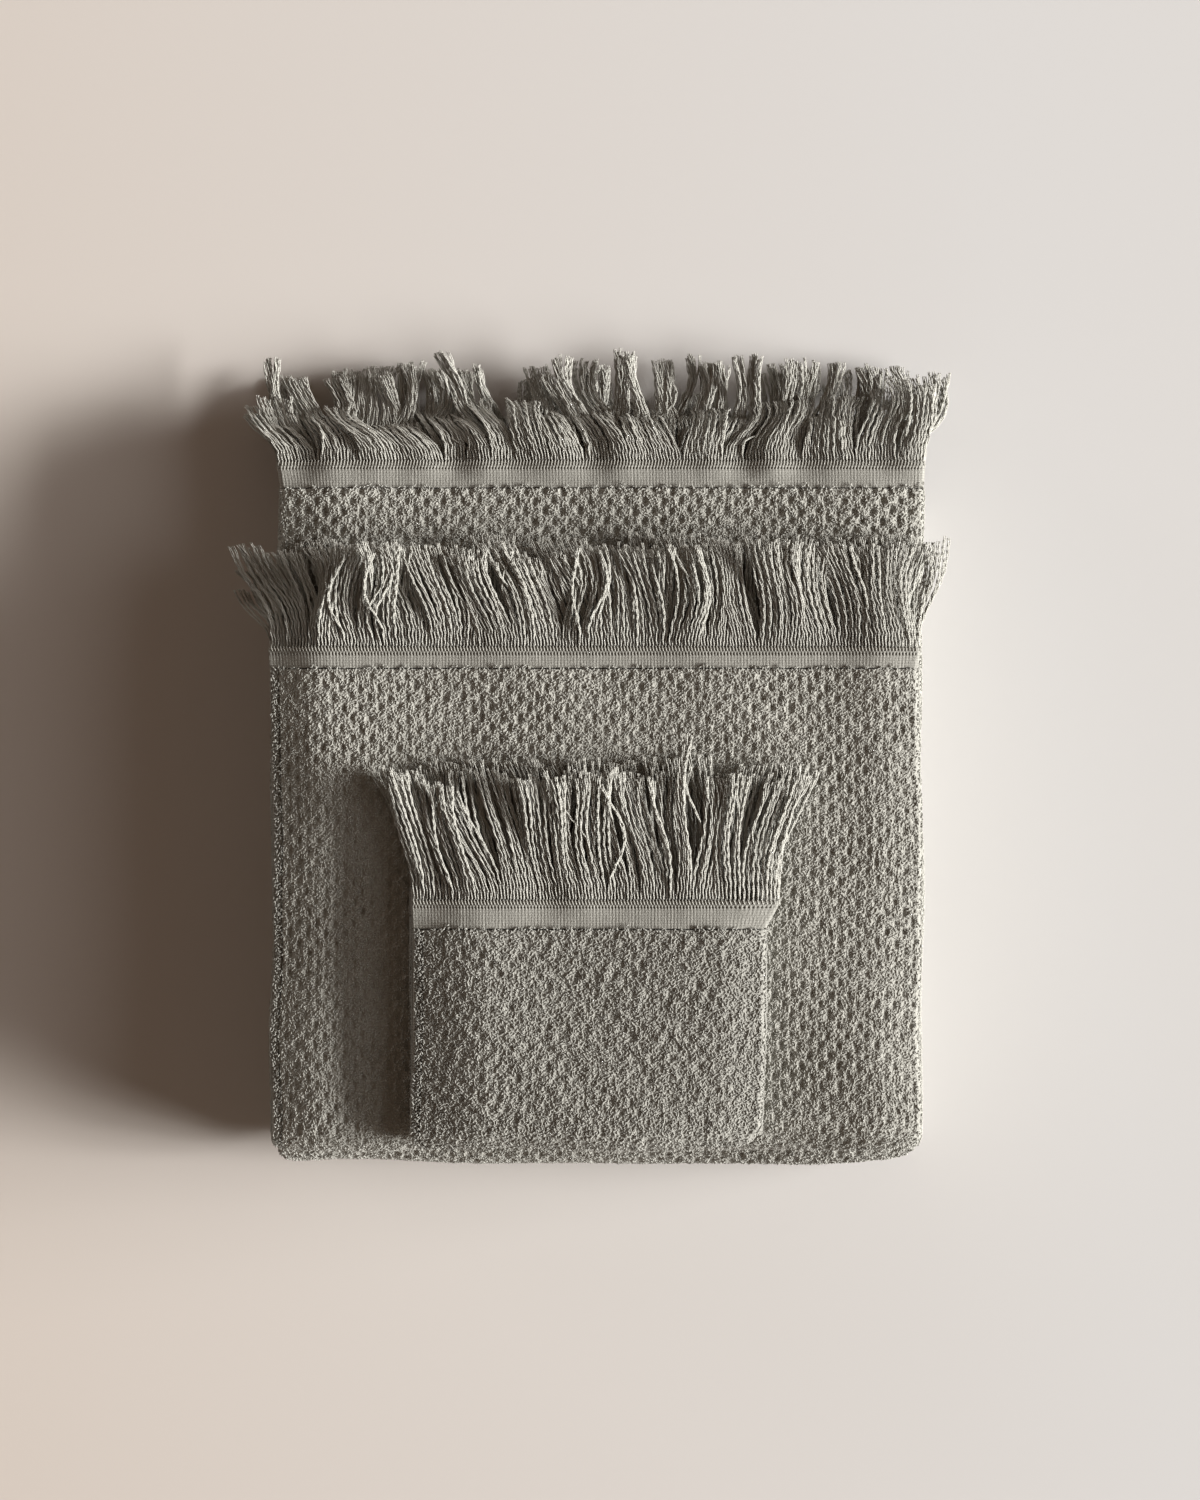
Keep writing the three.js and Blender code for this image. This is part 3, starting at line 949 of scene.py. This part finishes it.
def make_fringe(folds, end, root, outward):
    """Loose warp threads, gathered in uneven locks that sway, cross and fall."""
    towel = folds.towel
    style = towel.fringes[end]
    rng = np.random.default_rng(towel.seed + (100 if end == "top" else 200))
    start = root + outward * (GAP + towel.border + GAP + HEMSTITCH_LENGTH - FRINGE_TUCK)
    across = root_marks(folds)
    count = len(across)
    roots, _ = folds.place(across, np.full(count, start), rng.normal(0.52, 0.05, count))
    ahead, _ = folds.place(across, np.full(count, start + outward * 2.0), 0.0)
    back, _ = folds.place(across, np.full(count, start), 0.0)
    heading = ahead - back
    first_fall = np.arctan2(-heading[:, 2], heading[:, 1])[:, None]
    sheet_height = np.interp(across, folds.across_line[:, 0], folds.across_line[:, 2])
    gap = sheet_height.max() - sheet_height if end == "top" else sheet_height - sheet_height.min()
    above = (gap.max() - gap)[:, None]
    locks = Locks(rng, towel, style, roots[:, 0], gap)

    share = np.append(np.linspace(0, 1, THREAD_POINTS - 1), 1.004)[None, :]
    length = style["length"] * locks.of("length") * rng.normal(1.0, 0.02, (count, 1))
    stray = rng.uniform(0, 1, (count, 1)) < style["stray"]
    inside = 1 - smooth((np.abs(roots[:, 0] - towel.centre) - towel.half_width + 22) / 10)
    way, own_phase = travel(rng, style, locks, share, length, first_fall, stray * inside[:, None])

    # Threads of a lock draw together and open again at the tips. Small strands inside it part.
    closing = 1 - (1 - locks.of("gather")) * smooth(share * 1.5)
    closing = closing + 0.16 * smooth((share - 0.75) / 0.25)
    from_middle = locks.of("half") * locks.across[:, None]
    strand = np.floor(np.arange(count) / STRAND_THREADS).astype(int)
    strand_shift = rng.normal(0, 0.24, strand.max() + 1)[strand][:, None]
    wander = rng.normal(0, 0.2, (count, 1)) * np.sin(share * 8 + own_phase)
    splay = rng.normal(0, 0.8, strand.max() + 1)[strand][:, None]
    crimp_phase = 2.5 * waves(roots[:, 0], 0 * count, towel.seed + 43, 18)[:, None]
    crimp = CRIMP * np.sin(2 * math.pi * share * length / CRIMP_LENGTH + crimp_phase)
    x = locks.of("middle") + from_middle * closing + way[0]
    x = x + strand_shift * smooth(share * 2) + wander * share
    x = x + splay * smooth(share * 3.3 - 2.3) + crimp * smooth(share * 6) * (1 - 0.5 * share)
    y = roots[:, 1][:, None] + way[1]

    # Across a lock the threads stand in an arch, one side higher than the other.
    arch = locks.of("arch") * (1 - locks.across[:, None] ** 2)
    tilt = locks.of("tilt") * from_middle * closing
    own_lift = rng.normal(0, 0.2, (count, 1)) + stray * rng.uniform(0.8, 2.6, (count, 1))
    z = roots[:, 2][:, None] + way[2] - 0.5 * above * smooth(share * 1.6)
    z = z + (arch + tilt + locks.of("lift") + own_lift) * smooth(share * 2.4)
    tip_lift = locks.of("tip") * rng.uniform(0.6, 1.4, strand.max() + 1)[strand][:, None]
    z = z + tip_lift * smooth((share - 0.55) / 0.45)
    lowest = bed(towel, end, x, y) + 0.4 * above
    z = lowest + np.logaddexp(0, (z - lowest) / BED_SOFTNESS) * BED_SOFTNESS
    z = np.minimum(z, roots[:, 2].max() + HIGHEST_OVER_ROOT)
    centre_lines = np.stack([x, y, z], -1)
    centre_lines[:, 0] = roots

    lines = plied(rng, centre_lines, share, own_phase + length * share * PLY_TURN)
    radii = np.full(lines.shape[:2], PLY_RADIUS)
    hints = np.tile([0.0, 0.0, 1.0], (len(lines), 1))
    name = f"{towel.name}_fringe_{end}_threads"
    return tubes(name, lines, radii, hints, 3, YARN, pitch=PLY_PITCH)


def make_towel(towel):
    """All the pieces of one towel, riding on its body and standing for its CAD nodes."""
    folds = Folds(towel)
    ground = make_ground(folds)
    pile = make_pile(folds, ground)
    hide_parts(f"{towel.name}_terry")
    for piece in (ground, pile):
        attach(piece, towel.name)

    def add(piece, node_name):
        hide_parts(f"{towel.name}_{node_name}")
        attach(piece, towel.name)

    for side in ("inner", "outer"):
        add(make_selvedge(folds, side), f"selvedge_{side}")
    for end, root, outward in ends(folds):
        add(make_border(folds, end, root, outward), f"border_{end}")
        add(make_hemstitch(folds, end, root, outward), f"hemstitch_{end}")
        add(make_fringe(folds, end, root, outward), f"fringe_{end}")


def make_camera():
    """Straight above the stack, looking down."""
    data = bpy.data.cameras.new("camera")
    data.sensor_fit = "VERTICAL"
    data.sensor_height = SENSOR_MM
    data.lens = LENS_MM
    camera = bpy.data.objects.new("camera", data)
    camera.location = (0, CAMERA_AIM_Y * MM, CAMERA_HEIGHT * MM)
    bpy.context.scene.collection.objects.link(camera)
    bpy.context.scene.camera = camera


def add_sun(name, azimuth, elevation, power, angle):
    """A soft far light. Azimuth 0 is from +X and azimuth 90 is from +Y."""
    data = bpy.data.lights.new(name, "SUN")
    data.energy = power
    data.angle = math.radians(angle)
    data.color = LIGHT_COLOUR
    sun = bpy.data.objects.new(name, data)
    turn = math.radians(azimuth)
    rise = math.radians(elevation)
    away = Vector((math.cos(rise) * math.cos(turn), math.cos(rise) * math.sin(turn), math.sin(rise)))
    sun.location = away
    sun.rotation_euler = (-away).to_track_quat("-Z", "Y").to_euler()
    bpy.context.scene.collection.objects.link(sun)


def make_lights():
    """A wide window low on the right, made of a fan of soft suns, its weak bounce from above, a
    weak low light from behind, and a weak warm fill from all round."""
    for number, (azimuth, share) in enumerate(WINDOW_SHARES.items()):
        add_sun(f"window_{number + 1}", azimuth, WINDOW_ELEVATION, WINDOW_POWER * share, WINDOW_ANGLE)
    add_sun("high_light", *HIGH_LIGHT)
    add_sun("back_light", *BACK_LIGHT)

    world = bpy.data.worlds.new("fill")
    world.use_nodes = True
    tree = world.node_tree
    fill = tree.nodes["Background"]
    fill.inputs["Color"].default_value = (*FILL_COLOUR, 1)
    backdrop = node(tree, "ShaderNodeBackground", Color=(*BACKDROP_COLOUR, 1))
    seen = node(tree, "ShaderNodeLightPath")
    mix = node(tree, "ShaderNodeMixShader", Fac=seen.outputs["Is Camera Ray"])
    tree.links.new(fill.outputs["Background"], mix.inputs[1])
    tree.links.new(backdrop.outputs["Background"], mix.inputs[2])
    tree.links.new(mix.outputs["Shader"], tree.nodes["World Output"].inputs["Surface"])
    bpy.context.scene.world = world


def make_floor():
    """A pale floor under the stack, with painted falloff of the window light: its colour is darker and
    warmer on the left, away from the window.
    """
    bpy.ops.mesh.primitive_plane_add(size=FLOOR_SIZE * MM, location=(0, 0, -FLOOR_BELOW * MM))
    floor = bpy.context.object
    floor.name = "floor"
    material, tree, shader = new_material("pale_floor", 0.9, 0.0)
    turn = -math.radians(FLOOR_FALLOFF_TURN)
    turned = on_object(tree, "ShaderNodeMapping", Rotation=(0, 0, turn))
    split = node(tree, "ShaderNodeSeparateXYZ", Vector=turned.outputs["Vector"])
    reach = {"From Min": FLOOR_FALLOFF_FROM * MM, "From Max": FLOOR_FALLOFF_TO * MM}
    share = node(tree, "ShaderNodeMapRange", Value=split.outputs["X"], **reach)
    colour = tone_ramp(tree, share.outputs["Result"], FLOOR_PAINTED_DIM_LEFT, FLOOR_PAINTED_LIT_RIGHT, 0.0, 1.0)
    tree.links.new(colour, shader.inputs["Base Color"])
    floor.data.materials.append(material)


scene = bpy.context.scene
scene.view_settings.view_transform = "Standard"
make_camera()
make_lights()
make_floor()

# How a fringe lies. lean (radians, to the right) and fall (degrees, down) run from the left side to
# the right. recover is the share of the lean that is lost by the tip. mess, fall_mess and curve are
# how much locks differ and sway. lock is threads a lock, gather the width of its tip against its
# root, bend where its fall starts and over what share. lift and tip are heights, stray is the share
# of loose threads, and past long_at one lock is longer.
# The share that darkens each towel's loops and feet is painted shade for the shade inside its pile; it
# is strongest on the washcloth.
bath = Towel(
    "bath_towel", 3, 4, droop=28, seed=11, painted_shade=1.0, crown=(2.6, 2.4, 3.2),
    roll=(30, 30), lumps=0.2,
    pit=(1.2, 1.5, 2.0), flare=(1.5, 1.0), loop_spacing=1.03, loop_reach=0.68, yarn_radius=0.28,
    loop_heading=60, loop_disorder=1.0,
    top=dict(
        length=42, lock=(8, 18),
        lean=(-1.0, -0.65, -0.8, -0.75, -0.7, -0.5, -0.5, 0.15, 0.5, -0.1, 0.3, 0.12),
        recover=0.8, mess=0.1, curve=0.25, gather=(0.7, 1.0),
        fall=(60, 72, 78, 78, 75, 78, 72, 84, 70, 72, 45, 30), fall_mess=0.2,
        bend=(0.25, 0.5), lift=1.2, tip=3.0, stray=0.02,
    ),
    under=dict(
        length=45, lock=(7, 16),
        lean=(-0.45, -0.2, 0.15, -0.35, 0.2, -0.3, 0.25, -0.25, 0.15, -0.1, 0.2, 0.1),
        recover=0.9, mess=0.35, curve=0.35, gather=(0.35, 0.7),
        fall=(32, 28), fall_mess=0.25,
        bend=(0.2, 0.6), lift=1.7, tip=2.4, stray=0.03,
    ),
)
hand = Towel(
    "hand_towel", 2, 4, droop=18, seed=23, painted_shade=0.98, crown=(2.4, 1.7, 1.2),
    roll=(24, 22), lumps=0.18,
    pit=(1.05, 1.2, 2.1), flare=(1.0, 1.5), loop_spacing=1.02, loop_reach=0.68, yarn_radius=0.26,
    loop_heading=65, loop_disorder=0.7,
    top=dict(
        length=45, lock=(7, 15),
        lean=(-0.95, 0.1, -0.2, -0.35, -0.3, -0.25, -0.1, 0.05, -0.35, 0.2, -0.1, 0.12),
        recover=0.3, mess=0.1, curve=0.25, gather=(1.0, 1.25),
        fall=(55, 20, 18, 18, 18, 18, 18, 18, 18, 18, 18, 18), fall_mess=0.09,
        bend=(0.0, 0.7), lift=0.4, tip=5.0, stray=0.035,
    ),
    under=dict(
        length=45, lock=(8, 18), lean=(-0.5, 0.0, -0.2, 0.1, 0.15),
        recover=0.3, mess=0.14, curve=0.2, gather=(0.95, 1.15),
        fall=(20,), fall_mess=0.05,
        bend=(0.0, 0.7), lift=0.6, tip=0.5, stray=0.02,
    ),
)
wash = Towel(
    "washcloth", 2, 2, droop=0, seed=37, painted_shade=0.85, crown=(4.6, 3.6, 1.0),
    roll=(36, 22), lumps=0.3,
    pit=(0.45, 1.4, 2.0), flare=(0.5, 5.5), loop_spacing=1.02, loop_reach=0.8, yarn_radius=0.31,
    loop_heading=50, loop_disorder=1.3,
    top=dict(
        length=53, lock=(7, 14),
        lean=(-0.12, -0.32, -0.42, -0.3, -0.1, -0.15, 0.0, 0.15, 0.2),
        recover=0.3, mess=0.09, curve=0.16, gather=(0.96, 1.2),
        fall=(6,), fall_mess=0.06,
        bend=(0.0, 0.7), lift=0.35, tip=4.0, stray=0.07, long_at=30,
    ),
    under=dict(
        length=52, lock=(8, 16), lean=(-0.15, -0.25, 0.1, 0.2),
        recover=0.3, mess=0.12, curve=0.2, gather=(0.95, 1.15),
        fall=(7,), fall_mess=0.04,
        bend=(0.0, 0.7), lift=0.6, tip=1.0, stray=0.03,
    ),
)
hand.below = bath
wash.below = hand
bath.above = hand
hand.above = wash

make_towel(bath)
make_towel(hand)
make_towel(wash)
